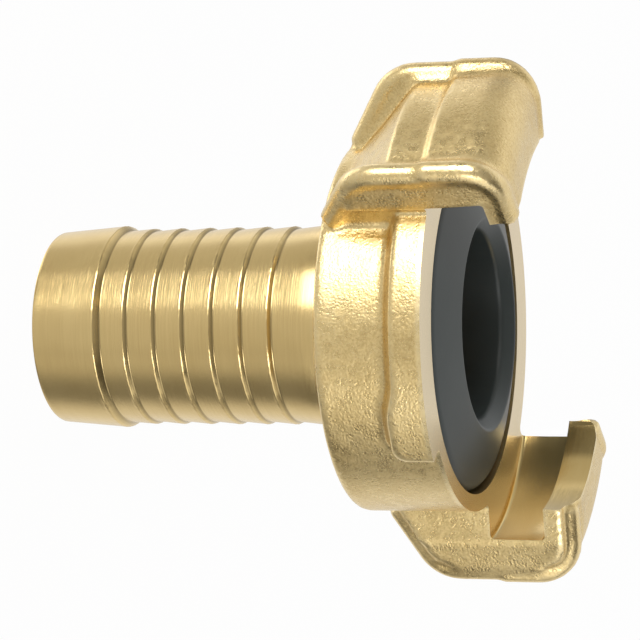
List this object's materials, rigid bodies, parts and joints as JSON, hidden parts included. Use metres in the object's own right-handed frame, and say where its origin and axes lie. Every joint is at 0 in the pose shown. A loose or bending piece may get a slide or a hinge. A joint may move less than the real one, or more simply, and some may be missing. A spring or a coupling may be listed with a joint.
{
  "type": "hose coupling",
  "caption": "Claw hose coupling: forged brass head with slotted claws, ramped locking flanges and a rubber face seal, on a barbed tail that pushes into a hose.",
  "frame": {"origin": "on the water way's axis, at the free end of the hose tail", "axes": "+Z along the water way, from the hose tail to the claws; X through the middles of both claws; +Y completes a right-handed frame"},
  "size_m": [0.0558, 0.044, 0.0548],
  "materials": {
    "brass": "satin",
    "rubber": "matt"
  },
  "bodies": {
    "root": {"coupling_body": "brass", "seal": "rubber"}
  },
  "joints": []
}
